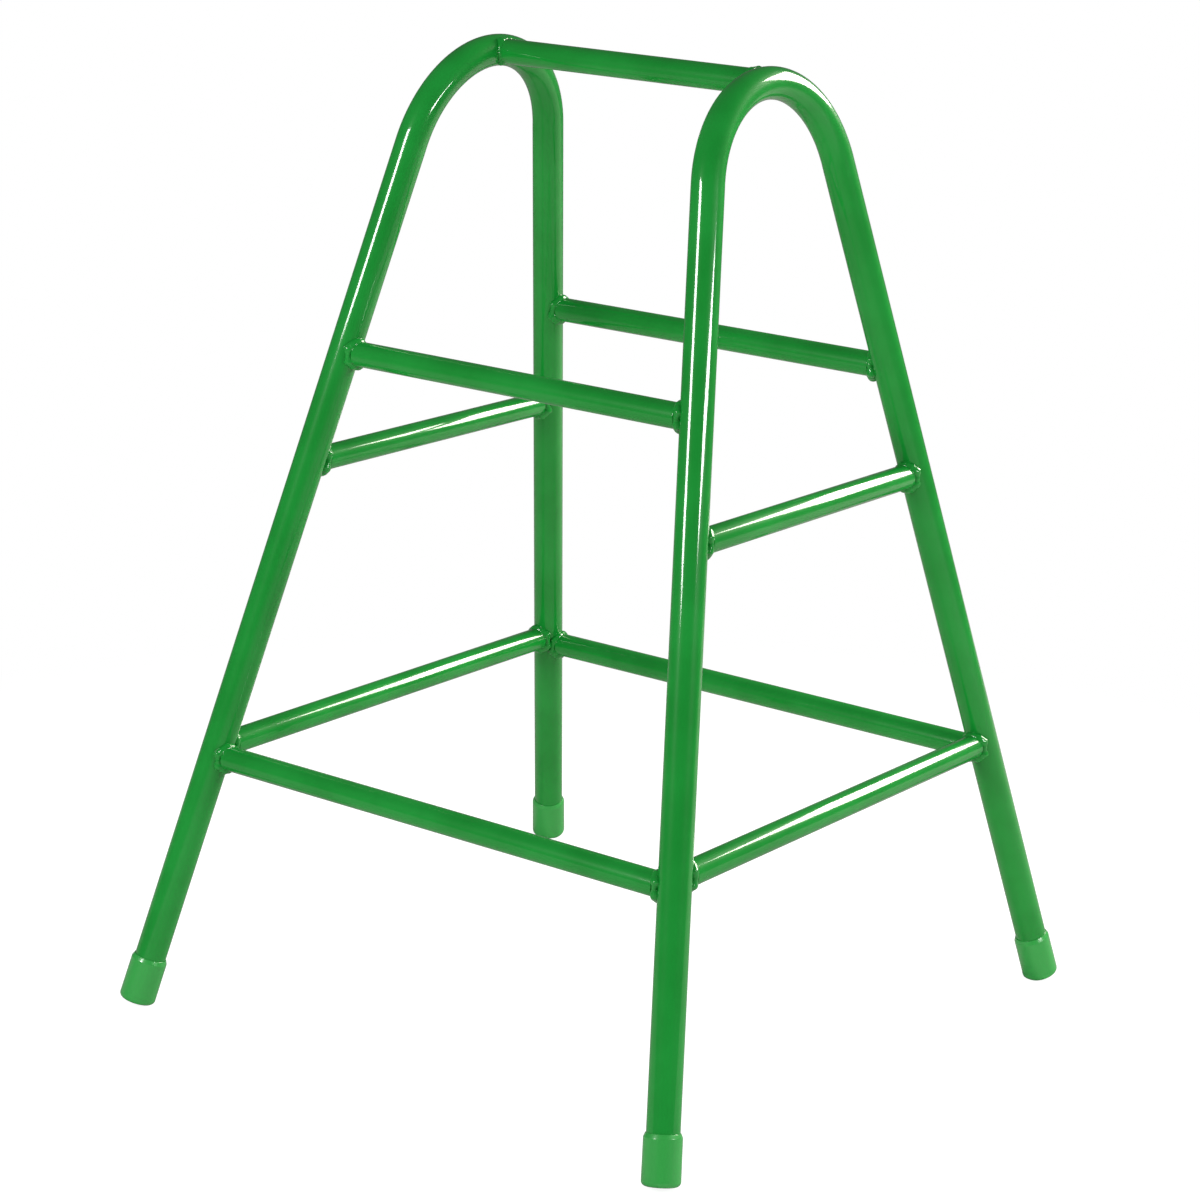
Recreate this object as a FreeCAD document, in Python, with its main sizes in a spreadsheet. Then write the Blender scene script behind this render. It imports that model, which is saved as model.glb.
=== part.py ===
"""Rigid tubular steel trestle for a gym: two bent hoops, nine welded bars and four push-on ferrules.

Frame: +Z up, origin on the floor under the middle of the trestle. The rails that join the hoops run
along X, and the rungs that cross each hoop run along Y. Left is -X, right is +X, front is -Y and back
is +Y. Millimetres.
"""
import FreeCAD, Part
import math
import os

import Sketcher

# Driving dimensions: alias, value in mm, what it is.
DIMENSIONS = [
    ("frame_height", 971.0, "floor to the top of the hoops"),
    ("foot_span_x", 664.0, "left to right, between leg axes where they meet the floor"),
    ("foot_span_y", 681.0, "front to back, between leg axes where they meet the floor"),
    ("top_span_x", 326.0, "left to right, between the hoops' axes at their crowns"),
    ("leg_diameter", 32.0, "outside of the hoops' tube"),
    ("leg_wall", 2.0, "wall of the hoops' tube"),
    ("bend_radius", 111.0, "bend of the hoops, to the tube's axis"),
    ("bar_diameter", 25.0, "outside of the rails' and rungs' tube"),
    ("bar_wall", 1.6, "wall of the rails' and rungs' tube"),
    ("upper_rail_height", 667.0, "floor to the axis of the front and back upper rails"),
    ("middle_rung_height", 557.0, "floor to the axis of the left and right middle rungs"),
    ("lower_rail_height", 259.0, "floor to the axis of the front and back lower rails"),
    ("lower_rung_height", 267.0, "floor to the axis of the left and right lower rungs"),
    ("weld_leg", 5.0, "weld bead's height over the bar's surface, and its reach along the bar"),
    ("weld_toe", 0.6, "weld bead's thickness where it ends on the bar"),
    ("weld_inset", 6.0, "how far in from the leg's two sides the weld bead stops"),
    ("ferrule_wall", 2.75, "wall of the ferrule round the tube, which fills its bore"),
    ("ferrule_length", 48.5, "sole to top edge of the ferrule"),
    ("ferrule_floor", 6.0, "thickness of the ferrule's sole under the tube"),
    ("ferrule_shoulder", 4.0, "height of the bevel at the ferrule's top"),
    ("ferrule_lip", 0.7, "width of the flat top edge inside the bevel"),
    ("ferrule_edge", 6.0, "rounding between the ferrule's side and its sole"),
    ("ferrule_wear", 1.5, "depth of the flat that the floor has pressed into the sole's low edge"),
]

LEFT, RIGHT, FRONT, BACK = -1, 1, -1, 1
SIDES = {"left": LEFT, "right": RIGHT}
FACES = {"front": FRONT, "back": BACK}

doc = FreeCAD.newDocument("trestle")
parts = []


# ---------------------------------------------------------------- dimensions

def make_sheet():
    """Put every driving dimension in one aliased cell."""
    sheet = doc.addObject("Spreadsheet::Sheet", "Dims")
    for row, (alias, value, meaning) in enumerate(DIMENSIONS, start=1):
        sheet.set(f"A{row}", alias)
        sheet.set(f"B{row}", str(value))
        sheet.set(f"C{row}", meaning)
        sheet.setAlias(f"B{row}", alias)
    doc.recompute()
    return sheet


# Sizes that follow from the driving ones, as expressions on the sheet: name, expression.
# The hoop lies in a plane that leans inwards; "slant" sizes are measured up that plane.
DERIVED_LENGTHS = [
    ("half_x", "Dims.foot_span_x / 2"),
    ("half_y", "Dims.foot_span_y / 2"),
    ("apex_x", "Dims.top_span_x / 2"),
    ("ferrule_radius", "Dims.leg_diameter / 2 + Dims.ferrule_wall"),
    ("apex_z", "Dims.frame_height - Dims.leg_diameter / 2"),
    ("slant", "sqrt((Dims.frame_height - Dims.leg_diameter / 2)^2"
              " + ((Dims.foot_span_x - Dims.top_span_x) / 2)^2)"),
]


def make_layout(sheet):
    """Hold the sizes that follow from the sheet in one set of named properties."""
    layout = doc.addObject("App::VarSet", "Layout")
    for name, expression in DERIVED_LENGTHS:
        layout.addProperty("App::PropertyLength", name, "Lengths")
        layout.setExpression(name, expression)
    doc.recompute()

    for name in ("bend_slant", "crown_reach", "leg_run"):
        layout.addProperty("App::PropertyLength", name, "Lengths")
    layout.addProperty("App::PropertyAngle", "lean", "Angles")
    layout.addProperty("App::PropertyAngle", "splay", "Angles")
    layout.addProperty("App::PropertyAngle", "tilt", "Angles")
    # Slant height of the bend's centre, and its distance from where the leg's axis meets the floor.
    layout.setExpression("bend_slant", "slant.Value - Dims.bend_radius")
    layout.setExpression("crown_reach", "hypot(half_y.Value; bend_slant.Value)")
    # The leg's axis from the floor to where the bend starts.
    layout.setExpression("leg_run", "cath(crown_reach.Value; Dims.bend_radius)")
    # lean: the hoop's plane against the vertical. splay: the leg against that plane's upright.
    layout.setExpression("lean", "atan((half_x.Value - apex_x.Value) / apex_z.Value)")
    layout.setExpression("splay", "atan(half_y.Value / bend_slant.Value)"
                                  " - asin(Dims.bend_radius / crown_reach.Value)")
    layout.setExpression("tilt", "acos(cos(splay) * cos(lean))")
    # How far a leg's axis moves along X and along Y for each unit of height.
    layout.addProperty("App::PropertyFloat", "slope_x", "Slopes")
    layout.addProperty("App::PropertyFloat", "slope_y", "Slopes")
    layout.setExpression("slope_x", "tan(lean)")
    layout.setExpression("slope_y", "tan(splay) / cos(lean)")

    # How far the sole's middle stands over the floor, once its low edge has worn flat, and from the
    # floor, along the leg's axis, to the end of the tube.
    layout.addProperty("App::PropertyDistance", "sole_lift", "Lengths")
    layout.addProperty("App::PropertyLength", "tube_start", "Lengths")
    layout.setExpression("sole_lift", "(ferrule_radius.Value - Dims.ferrule_edge) * sin(tilt)"
                                      " + Dims.ferrule_edge * (1 - cos(tilt)) - Dims.ferrule_wear")
    layout.setExpression("tube_start", "sole_lift.Value / cos(tilt) + Dims.ferrule_floor")
    doc.recompute()
    return layout


dims = make_sheet()
layout = make_layout(dims)


def leg_x(height):
    """Expression for a leg axis's distance from the middle along X, at a height given as an expression."""
    return f"(Layout.half_x.Value - {height} * Layout.slope_x)"


def leg_y(height):
    """Expression for a leg axis's distance from the middle along Y, at a height given as an expression."""
    return f"(Layout.half_y.Value - {height} * Layout.slope_y)"


def leg_direction(side, face):
    """Unit vector up the axis of the leg at that side and face."""
    lean = math.radians(layout.lean.Value)
    splay = math.radians(layout.splay.Value)
    return FreeCAD.Vector(
        -side * math.cos(splay) * math.sin(lean),
        -face * math.sin(splay),
        math.cos(splay) * math.cos(lean),
    )


def leg_point(side, face, along):
    """Point on a leg's axis, at that distance up from the floor."""
    foot = FreeCAD.Vector(side * layout.half_x.Value, face * layout.half_y.Value, 0)
    return foot + leg_direction(side, face) * along


def hoop_rotation(side):
    """Turns a hoop drawn upright in the YZ plane to its lean."""
    return FreeCAD.Rotation(FreeCAD.Vector(0, 1, 0), -side * layout.lean.Value)


# ------------------------------------------------------------------- helpers

def origin_plane(body, role):
    """One of a body's own base planes."""
    return next(item for item in body.Origin.OriginFeatures if item.Role == role)


def attached_sketch(body, name, role):
    """A sketch on one of the body's own base planes."""
    sketch = body.newObject("Sketcher::SketchObject", name)
    sketch.AttachmentSupport = [(origin_plane(body, role), "")]
    sketch.MapMode = "FlatFace"
    return sketch


def centred_circle(sketch, radius, expression):
    """A circle round the sketch's origin whose radius follows the expression."""
    circle = Part.Circle(FreeCAD.Vector(0, 0, 0), FreeCAD.Vector(0, 0, 1), radius)
    index = sketch.addGeometry(circle)
    sketch.addConstraint(Sketcher.Constraint("Coincident", index, 3, -1, 1))
    radius_constraint = sketch.addConstraint(Sketcher.Constraint("Radius", index, radius))
    sketch.setExpression(f"Constraints[{radius_constraint}]", expression)


def cylinder(name, radius, height):
    """A Part cylinder with its radius and height bound to expressions."""
    item = doc.addObject("Part::Cylinder", name)
    item.setExpression("Radius", radius)
    item.setExpression("Height", height)
    return item


def cut(name, base, tool):
    """Base less tool."""
    item = doc.addObject("Part::Cut", name)
    item.Base = base
    item.Tool = tool
    return item


def keep(item, label):
    """Name a finished sub-part and list it for export."""
    item.Label = label
    parts.append(item)
    return item


# --------------------------------------------------------------------- hoops

def make_hoop(name, side):
    """One tube bent into an inverted U: up the front leg, round the crown, down the back leg."""
    body = doc.addObject("PartDesign::Body", f"{name}_hoop")
    straight = layout.leg_run.Value - layout.tube_start.Value
    radius = dims.bend_radius
    sweep = math.radians(180 - 2 * layout.splay.Value)

    # Drawn with the front leg straight up from the origin, so that the tube's section is a plain ring.
    path = attached_sketch(body, f"{name}_hoop_path", "YZ_Plane")
    centre = FreeCAD.Vector(radius, straight, 0)
    bend_end = centre + FreeCAD.Vector(-math.cos(sweep), math.sin(sweep), 0) * radius
    down = FreeCAD.Vector(math.sin(sweep), math.cos(sweep), 0)
    up_leg = path.addGeometry(Part.LineSegment(FreeCAD.Vector(0, 0, 0), FreeCAD.Vector(0, straight, 0)))
    circle = Part.Circle(centre, FreeCAD.Vector(0, 0, 1), radius)
    crown = path.addGeometry(Part.ArcOfCircle(circle, math.pi - sweep, math.pi))
    down_leg = path.addGeometry(Part.LineSegment(bend_end, bend_end + down * straight))
    path.addConstraint(Sketcher.Constraint("Coincident", up_leg, 1, -1, 1))
    path.addConstraint(Sketcher.Constraint("Vertical", up_leg))
    path.addConstraint(Sketcher.Constraint("Tangent", up_leg, 2, crown, 2))
    path.addConstraint(Sketcher.Constraint("Tangent", crown, 1, down_leg, 1))
    path.addConstraint(Sketcher.Constraint("Equal", up_leg, down_leg))
    length = path.addConstraint(Sketcher.Constraint("Distance", up_leg, straight))
    path.setExpression(f"Constraints[{length}]", "Layout.leg_run.Value - Layout.tube_start.Value")
    bend = path.addConstraint(Sketcher.Constraint("Radius", crown, radius))
    path.setExpression(f"Constraints[{bend}]", "Dims.bend_radius")
    # The angle between the two legs is twice the splay.
    between = path.addConstraint(Sketcher.Constraint("Angle", up_leg, 1, down_leg, 2, math.pi - sweep))
    path.setExpression(f"Constraints[{between}]", "2 * Layout.splay")

    section = attached_sketch(body, f"{name}_hoop_section", "XY_Plane")
    outer = dims.leg_diameter / 2
    centred_circle(section, outer, "Dims.leg_diameter / 2")
    centred_circle(section, outer - dims.leg_wall, "Dims.leg_diameter / 2 - Dims.leg_wall")

    pipe = body.newObject("PartDesign::AdditivePipe", f"{name}_hoop_tube")
    pipe.Profile = section
    pipe.Spine = (path, ["Edge1", "Edge2", "Edge3"])
    body.Tip = pipe

    splay = FreeCAD.Rotation(FreeCAD.Vector(1, 0, 0), -layout.splay.Value)
    start = leg_point(side, FRONT, layout.tube_start.Value)
    body.Placement = FreeCAD.Placement(start, hoop_rotation(side) * splay)
    return keep(body, f"{name}_hoop")


# --------------------------------------------- the hoops' outsides, for the welds

def place_leg(item, side, face, along=0.0):
    """Stand a shape that points up Z on a leg's axis, starting at that distance up from the floor."""
    turn = FreeCAD.Rotation(FreeCAD.Vector(0, 0, 1), leg_direction(side, face))
    item.Placement = FreeCAD.Placement(leg_point(side, face, along), turn)
    return item


def leg_envelope(name, side, face):
    """A solid rod the size of a leg's outside, from the floor to the bend."""
    return place_leg(cylinder(name, "Dims.leg_diameter / 2", "Layout.leg_run"), side, face)


def crown_envelope(name, side):
    """A solid ring sector the size of a hoop's bend."""
    ring = doc.addObject("Part::Torus", name)
    ring.setExpression("Radius1", "Dims.bend_radius")
    ring.setExpression("Radius2", "Dims.leg_diameter / 2")
    ring.setExpression("Angle3", "180 deg - 2 * Layout.splay")
    lean = hoop_rotation(side)
    foot_line = FreeCAD.Vector(side * layout.half_x.Value, 0, 0)
    centre = foot_line + lean.multVec(FreeCAD.Vector(0, 0, layout.bend_slant.Value))
    # The sector starts at the ring's own X axis, so that axis is turned to the back leg's bend end.
    stand = FreeCAD.Rotation(FreeCAD.Vector(0, 1, 0), FreeCAD.Vector(0, 0, 1), FreeCAD.Vector(1, 0, 0))
    start = FreeCAD.Rotation(FreeCAD.Vector(1, 0, 0), layout.splay.Value)
    ring.Placement = FreeCAD.Placement(centre, lean * start * stand)
    return ring


def make_hoop_envelopes():
    """The outside of each leg and each crown as a solid, by side and face; a crown's face is None."""
    envelopes = {}
    for side_name, side in SIDES.items():
        for face_name, face in FACES.items():
            name = f"{side_name}_{face_name}_leg_envelope"
            envelopes[side, face] = leg_envelope(name, side, face)
        envelopes[side, None] = crown_envelope(f"{side_name}_crown_envelope", side)
    return envelopes


# --------------------------------------------------------------- rails, rungs

class Bar:
    """A rail or rung: which way it runs, its middle, its half lengths, and the ends it is welded at."""

    def __init__(self, name, along, middle, half_length, to_axis, ends):
        self.name = name
        self.along = along
        self.middle = middle
        # Half lengths, as expressions: to the square-cut end, and on to the leg's axis.
        self.half_length = half_length
        self.to_axis = to_axis
        # An end is (end name, outward sign, side, face); the top rail's ends are on crowns, with face None.
        self.ends = ends

    def pointing(self, outward):
        """Rotation that turns Z to point along the bar, outwards at one of its ends."""
        axis = FreeCAD.Vector(outward, 0, 0) if self.along == "X" else FreeCAD.Vector(0, outward, 0)
        return FreeCAD.Rotation(FreeCAD.Vector(0, 0, 1), axis)

    def place(self, item, outward, start):
        """Lay a shape that points up Z along the bar, from that distance out from the middle."""
        item.Placement.Rotation = self.pointing(outward)
        for letter, expression in zip("xyz", self.middle):
            along = f"{expression} + {outward} * ({start})" if letter.upper() == self.along else expression
            item.setExpression(f"Placement.Base.{letter}", along)
        return item

    def rod(self, name, radius, half_length):
        """A rod along the bar, as long to both sides of its middle."""
        return self.place(cylinder(name, radius, f"2 * {half_length}"), 1, f"-{half_length}")


def square_end(position, slope, height):
    """Expression for where a bar's square-cut end first touches the leg, which leans in over it."""
    at_top = position(f"({height} + Dims.bar_diameter / 2)")
    return f"({at_top} - Dims.leg_diameter / 2 * sqrt(1 + {slope}^2))"


def list_bars():
    """The nine bars: top rail, upper and lower rails, middle and lower rungs."""
    reach = "(Layout.apex_x.Value - Dims.leg_diameter / 2)"
    ends = [(side_name, side, side, None) for side_name, side in SIDES.items()]
    bars = [Bar("top_rail", "X", ("0", "0", "Layout.apex_z.Value"), reach, "Layout.apex_x.Value", ends)]
    for level in ("upper", "lower"):
        height = f"Dims.{level}_rail_height"
        reach = square_end(leg_x, "Layout.slope_x", height)
        for face_name, face in FACES.items():
            ends = [(side_name, side, side, face) for side_name, side in SIDES.items()]
            middle = ("0", f"{face} * {leg_y(height)}", height)
            bars.append(Bar(f"{face_name}_{level}_rail", "X", middle, reach, leg_x(height), ends))
    for level in ("middle", "lower"):
        height = f"Dims.{level}_rung_height"
        reach = square_end(leg_y, "Layout.slope_y", height)
        for side_name, side in SIDES.items():
            ends = [(face_name, face, side, face) for face_name, face in FACES.items()]
            middle = (f"{side} * {leg_x(height)}", "0", height)
            bars.append(Bar(f"{side_name}_{level}_rung", "Y", middle, reach, leg_y(height), ends))
    return bars


def make_bar(bar):
    """A plain tube with square-cut ends. Returns its outside as a solid, for its welds."""
    solid = bar.rod(f"{bar.name}_solid", "Dims.bar_diameter / 2", bar.half_length)
    bore = bar.rod(f"{bar.name}_bore", "Dims.bar_diameter / 2 - Dims.bar_wall", bar.to_axis)
    keep(cut(f"{bar.name}_tube", solid, bore), bar.name)
    return solid


# --------------------------------------------------------------------- welds

def bead_blank(bar, name, outward):
    """A collar round the bar's end that tapers to a toe on the bar, and runs on to the leg's axis."""
    high = "Dims.bar_diameter / 2 + Dims.weld_leg"
    taper = doc.addObject("Part::Cone", f"{name}_taper")
    taper.setExpression("Radius1", "Dims.bar_diameter / 2 + Dims.weld_toe")
    taper.setExpression("Radius2", high)
    taper.setExpression("Height", "Dims.weld_leg")
    bar.place(taper, outward, f"{bar.half_length} - Dims.weld_leg")
    neck = cylinder(f"{name}_neck", high, f"{bar.to_axis} - {bar.half_length}")
    bar.place(neck, outward, bar.half_length)
    blank = doc.addObject("Part::Fuse", f"{name}_blank")
    blank.Base = taper
    blank.Tool = neck
    return blank


def bead_band(bar, name, outward, upright):
    """A slab along the bar's end, as wide as the bead: upright against a leg, flat against a crown."""
    band = doc.addObject("Part::Box", f"{name}_band")
    tall = "(Dims.bar_diameter + 4 * Dims.weld_leg)"
    wide = "(Dims.leg_diameter - 2 * Dims.weld_inset)"
    start = f"({bar.half_length} - 2 * Dims.weld_leg)"
    extents = {
        bar.along: f"{bar.to_axis} - {start}",
        "Z": tall if upright else wide,
        "Y" if bar.along == "X" else "X": wide if upright else tall,
    }
    corner = start if outward > 0 else f"(-{bar.to_axis})"
    for letter, expression, side in zip("xyz", bar.middle, ("Length", "Width", "Height")):
        extent = extents[letter.upper()]
        band.setExpression(side, extent)
        centred = f"{expression} - {extent} / 2"
        along = f"{expression} + {corner}"
        band.setExpression(f"Placement.Base.{letter}", along if letter.upper() == bar.along else centred)
    return band


def make_weld(bar, end, solid, envelopes):
    """The bead between one end of a bar and its leg or crown, with the tubes themselves cut out of it."""
    end_name, outward, side, face = end
    name = f"{bar.name}_weld_{end_name}"
    bead = doc.addObject("Part::Common", f"{name}_bead")
    bead.Base = bead_blank(bar, name, outward)
    bead.Tool = bead_band(bar, name, outward, upright=face is not None)
    beside_bar = cut(f"{name}_beside_bar", bead, solid)
    return keep(cut(f"{name}_fitted", beside_bar, envelopes[side, face]), name)


# ------------------------------------------------------------------ ferrules

def make_floor():
    """A block under the floor plane, which presses the soles flat."""
    floor = doc.addObject("Part::Box", "floor")
    floor.setExpression("Length", "2 * Dims.foot_span_x")
    floor.setExpression("Width", "2 * Dims.foot_span_y")
    floor.setExpression("Height", "Dims.ferrule_length")
    floor.setExpression("Placement.Base.x", "-Dims.foot_span_x")
    floor.setExpression("Placement.Base.y", "-Dims.foot_span_y")
    floor.setExpression("Placement.Base.z", "-Dims.ferrule_length")
    return floor


def make_ferrule(face_name, side_name, floor):
    """A moulded cup over a leg's end: thick sole, bevelled top, and a worn flat on the sole's low edge."""
    name = f"{face_name}_{side_name}_ferrule"
    side, face = SIDES[side_name], FACES[face_name]
    body = doc.addObject("PartDesign::Body", f"{name}_moulding")
    profile = attached_sketch(body, f"{name}_profile", "XZ_Plane")
    outer = layout.ferrule_radius.Value
    bore = dims.leg_diameter / 2
    edge = dims.ferrule_edge
    corners = [
        (0, 0),
        (outer - edge, 0),
        (outer, edge),
        (outer, dims.ferrule_length - dims.ferrule_shoulder),
        (bore + dims.ferrule_lip, dims.ferrule_length),
        (bore, dims.ferrule_length),
        (bore, dims.ferrule_floor),
        (0, dims.ferrule_floor),
    ]
    points = [FreeCAD.Vector(x, z, 0) for x, z in corners]
    lines = {}
    for index, point in enumerate(points):
        following = points[(index + 1) % len(points)]
        if index == 1:
            centre = FreeCAD.Vector(outer - edge, edge, 0)
            circle = Part.Circle(centre, FreeCAD.Vector(0, 0, 1), edge)
            lines[index] = profile.addGeometry(Part.ArcOfCircle(circle, -math.pi / 2, 0))
        else:
            lines[index] = profile.addGeometry(Part.LineSegment(point, following))
    sole, rounding, wall, shoulder, lip, socket, seat, axis = (lines[i] for i in range(8))
    for first, second in ((wall, shoulder), (shoulder, lip), (lip, socket), (socket, seat), (seat, axis)):
        profile.addConstraint(Sketcher.Constraint("Coincident", first, 2, second, 1))
    profile.addConstraint(Sketcher.Constraint("Coincident", axis, 2, sole, 1))
    profile.addConstraint(Sketcher.Constraint("Coincident", sole, 1, -1, 1))
    profile.addConstraint(Sketcher.Constraint("Tangent", sole, 2, rounding, 1))
    profile.addConstraint(Sketcher.Constraint("Tangent", rounding, 2, wall, 1))
    for line in (sole, lip, seat):
        profile.addConstraint(Sketcher.Constraint("Horizontal", line))
    for line in (wall, socket, axis):
        profile.addConstraint(Sketcher.Constraint("Vertical", line))
    sized = [
        (Sketcher.Constraint("Radius", rounding, edge), "Dims.ferrule_edge"),
        (Sketcher.Constraint("DistanceX", -1, 1, wall, 2, outer), "Layout.ferrule_radius.Value"),
        (Sketcher.Constraint("DistanceX", -1, 1, socket, 1, bore), "Dims.leg_diameter / 2"),
        (Sketcher.Constraint("DistanceX", lip, 2, lip, 1, dims.ferrule_lip), "Dims.ferrule_lip"),
        (Sketcher.Constraint("DistanceY", -1, 1, lip, 1, dims.ferrule_length), "Dims.ferrule_length"),
        (Sketcher.Constraint("DistanceY", shoulder, 1, shoulder, 2, dims.ferrule_shoulder),
         "Dims.ferrule_shoulder"),
        (Sketcher.Constraint("DistanceY", -1, 1, seat, 1, dims.ferrule_floor), "Dims.ferrule_floor"),
    ]
    for constraint, expression in sized:
        index = profile.addConstraint(constraint)
        profile.setExpression(f"Constraints[{index}]", expression)
    turned = body.newObject("PartDesign::Revolution", f"{name}_turned")
    turned.Profile = profile
    turned.ReferenceAxis = (profile, ["V_Axis"])
    turned.Angle = 360
    body.Tip = turned
    place_leg(body, side, face, layout.tube_start.Value - dims.ferrule_floor)
    return keep(cut(f"{name}_worn", body, floor), name)


# -------------------------------------------------------------------- output

def check_model():
    """Stop if any object failed to compute or any sub-part isn't a valid solid."""
    doc.recompute()
    failed = [item.Name for item in doc.Objects if {"Invalid", "Error"} & set(item.State)]
    if failed:
        raise RuntimeError(f"these objects failed: {failed}")
    for item in parts:
        if item.Shape.isNull() or not item.Shape.isValid() or not item.Shape.Solids:
            raise RuntimeError(f"{item.Label} isn't a valid solid")


def export():
    """Write each sub-part to its own STEP file, in place."""
    os.makedirs("parts", exist_ok=True)
    for item in parts:
        item.Shape.exportStep(f"parts/{item.Label}.step")
        print(f"{item.Label}: {len(item.Shape.Solids)} solid, {item.Shape.Volume / 1000:.1f} cm3")


for side_label, side_sign in SIDES.items():
    make_hoop(side_label, side_sign)
hoop_envelopes = make_hoop_envelopes()
for each_bar in list_bars():
    outside = make_bar(each_bar)
    for each_end in each_bar.ends:
        make_weld(each_bar, each_end, outside, hoop_envelopes)
floor_block = make_floor()
for face_label in FACES:
    for side_label in SIDES:
        make_ferrule(face_label, side_label, floor_block)
check_model()
export()
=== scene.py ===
# %% [markdown]
# # A tubular steel gym trestle
# Two hoops of bent tube stand face to face and lean together. Nine shorter tubes are welded between them,
# the whole frame is stove enamelled green, and a plastic ferrule is pushed on each foot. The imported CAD
# model is loaded first and stays the measure of everything: each visible piece is made where it says.

import math
import random

import bpy
from mathutils import Matrix, Vector


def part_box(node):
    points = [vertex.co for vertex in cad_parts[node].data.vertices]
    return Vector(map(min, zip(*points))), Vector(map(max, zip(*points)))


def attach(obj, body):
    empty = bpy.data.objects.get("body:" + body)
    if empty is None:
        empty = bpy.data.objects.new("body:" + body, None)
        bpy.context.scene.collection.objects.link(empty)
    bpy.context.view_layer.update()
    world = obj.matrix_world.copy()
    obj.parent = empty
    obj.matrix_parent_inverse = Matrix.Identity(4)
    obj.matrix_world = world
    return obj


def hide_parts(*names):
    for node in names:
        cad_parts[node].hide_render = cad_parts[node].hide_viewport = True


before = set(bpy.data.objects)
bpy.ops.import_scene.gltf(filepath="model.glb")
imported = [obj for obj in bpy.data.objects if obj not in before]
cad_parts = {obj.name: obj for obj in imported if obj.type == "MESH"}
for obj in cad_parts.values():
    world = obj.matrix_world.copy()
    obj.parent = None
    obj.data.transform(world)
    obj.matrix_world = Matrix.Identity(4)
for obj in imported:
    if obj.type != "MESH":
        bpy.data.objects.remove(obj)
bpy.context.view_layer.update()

# %% [markdown]
# ## Reading the sizes off the frame
# The rails and rungs are straight and lie along X or Y, so their boxes give the middle, the ends and the
# radius of each one. Two rungs at different heights show how the hoops lean, and two rails show how far
# the legs splay. From those four the feet, the crown and the bend follow by plain trigonometry, which is
# why no size of the hoops is typed in here.

# %% Where everything is
MM = 0.001
SIDES = {"left": -1, "right": 1}
FACES = {"front": -1, "back": 1}


def middle(node):
    """Middle of a CAD node's box."""
    low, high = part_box(node)
    return (low + high) / 2


def extent(node):
    """Size of a CAD node's box."""
    low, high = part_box(node)
    return high - low


apex_height = middle("top_rail").z
bar_radius = extent("top_rail").z / 2
leg_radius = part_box("left_hoop")[1].z - apex_height

rung_low, rung_high = middle("right_lower_rung"), middle("right_middle_rung")
rail_low, rail_high = middle("back_lower_rail"), middle("back_upper_rail")
slope_x = (rung_low.x - rung_high.x) / (rung_high.z - rung_low.z)
slope_y = (rail_low.y - rail_high.y) / (rail_high.z - rail_low.z)
foot_x = rung_low.x + slope_x * rung_low.z
foot_y = rail_low.y + slope_y * rail_low.z

lean = math.atan(slope_x)
splay = math.atan(slope_y * math.cos(lean))
slant = apex_height / math.cos(lean)
bend_radius = (foot_y * math.cos(splay) - slant * math.sin(splay)) / (1 - math.sin(splay))
bend_slant = slant - bend_radius
print(f"feet at {foot_x / MM:.1f}, {foot_y / MM:.1f} mm; lean {math.degrees(lean):.2f}, "
      f"splay {math.degrees(splay):.2f} degrees; bend radius {bend_radius / MM:.1f} mm")

# %% [markdown]
# ## The hoop's own plane
# A hoop is flat, so it is easiest to think about in its own plane: Y across, and "slant" up the plane from
# the floor. These helpers turn between that plane and the frame, and measure how far a point lies from
# the hoop's tube. The welds use that distance to find where a bar meets a leg.

# %% Hoop plane helpers
UP = Vector((0, 0, 1))


def hoop_up(side):
    """Unit vector up a hoop's plane."""
    return Vector((-side * math.sin(lean), 0, math.cos(lean)))


def hoop_out(side):
    """Unit vector square to a hoop's plane, away from the middle of the trestle."""
    return Vector((side * math.cos(lean), 0, math.sin(lean)))


def from_plane(side, across, up, out=0.0):
    """Point at that place in a hoop's plane, and that far out of it."""
    return Vector((side * foot_x, across, 0)) + hoop_up(side) * up + hoop_out(side) * out


def to_plane(side, point):
    """Place of a point across and up a hoop's plane, and out of it."""
    offset = Vector(point) - Vector((side * foot_x, 0, 0))
    return offset.y, offset.dot(hoop_up(side)), offset.dot(hoop_out(side))


def leg_direction(side, face):
    """Unit vector up a leg."""
    return hoop_up(side) * math.cos(splay) - Vector((0, face * math.sin(splay), 0))


def tube_clearance(side, point):
    """How far a point lies outside a hoop's tube. It is negative inside the tube."""
    across, up, out = to_plane(side, point)
    from_centre = Vector((abs(across), up - bend_slant))
    in_bend = math.atan2(from_centre.y, from_centre.x) > splay
    if in_bend:
        in_plane = from_centre.length - bend_radius
    else:
        in_plane = from_centre.x * math.cos(splay) + from_centre.y * math.sin(splay) - bend_radius
    return math.hypot(in_plane, out) - leg_radius


print("top of the right hoop's centre line at", from_plane(SIDES["right"], 0, slant))

# %% [markdown]
# ## One way to add a node
# Materials and node trees below are all built with the same small function: it adds a node, sets its
# settings, and fills or links its inputs. A socket is found by its identifier, because several nodes
# have two sockets with the same name.

# %% Node and colour helpers


def socket(sockets, key):
    """A node's socket by number, identifier or name."""
    if isinstance(key, int):
        return sockets[key]
    return next((each for each in sockets if each.identifier == key), None) or sockets[key]


def add(tree, kind, inputs=None, **settings):
    """Add a node. Inputs are values, or (node, socket) pairs to link from."""
    node = tree.nodes.new(kind)
    for key, value in settings.items():
        setattr(node, key, value)
    for key, value in (inputs or {}).items():
        if isinstance(value, tuple) and isinstance(value[0], bpy.types.Node):
            tree.links.new(socket(value[0].outputs, value[1]), socket(node.inputs, key))
        else:
            socket(node.inputs, key).default_value = value
    return node


def colour(code):
    """Linear colour from an sRGB hex code."""
    channels = [int(code[at:at + 2], 16) / 255 for at in (1, 3, 5)]
    linear = [c / 12.92 if c <= 0.04045 else ((c + 0.055) / 1.055) ** 2.4 for c in channels]
    return (*linear, 1.0)


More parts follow.
